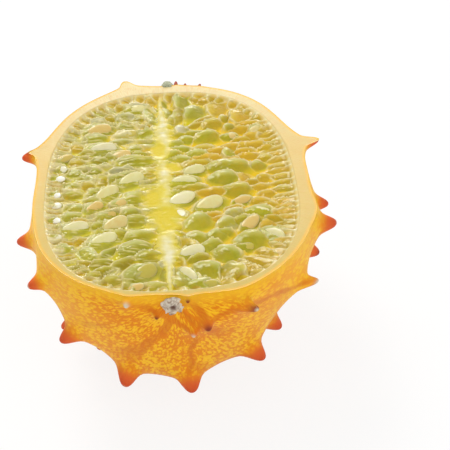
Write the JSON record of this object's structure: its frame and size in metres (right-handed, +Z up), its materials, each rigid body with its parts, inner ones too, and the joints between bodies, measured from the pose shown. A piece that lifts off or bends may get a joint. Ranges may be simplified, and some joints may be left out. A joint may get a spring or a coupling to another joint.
{
  "type": "horned melon half",
  "caption": "Half of a spiky golden fruit cut lengthways, cut face up: horned rind, pale flesh wall, juicy green pulp with seeds.",
  "frame": {"origin": "on the surface that the half stands on, under the middle of its box", "axes": "+Z up, square to the cut face; +Y along the fruit from the blossom end to the stem end; +X across it"},
  "size_m": [0.0858, 0.119, 0.0507],
  "materials": {
    "rind": "waxy satin skin, golden orange with yellow specks and red-orange horn tips; matt cream flesh where it is cut",
    "pulp": "wet, glossy and partly clear, yellow-green, with a pale yellow core",
    "seed": "wet and smooth, cream to tan"
  },
  "bodies": {
    "root": {"rind": "rind", "pulp": "pulp", "seed_01": "seed", "seed_02": "seed", "seed_03": "seed", "seed_04": "seed", "seed_05": "seed", "seed_06": "seed", "seed_07": "seed", "seed_08": "seed", "seed_09": "seed", "seed_10": "seed", "seed_11": "seed", "seed_12": "seed", "seed_13": "seed", "seed_14": "seed", "seed_15": "seed", "seed_16": "seed", "seed_17": "seed", "seed_18": "seed", "seed_19": "seed", "seed_20": "seed", "seed_21": "seed", "seed_22": "seed", "seed_23": "seed", "seed_24": "seed", "seed_25": "seed", "seed_26": "seed", "seed_27": "seed", "seed_28": "seed", "seed_29": "seed", "seed_30": "seed", "seed_31": "seed", "seed_32": "seed", "seed_33": "seed", "seed_34": "seed", "seed_35": "seed", "seed_36": "seed", "seed_37": "seed", "seed_38": "seed", "seed_39": "seed"}
  },
  "joints": []
}
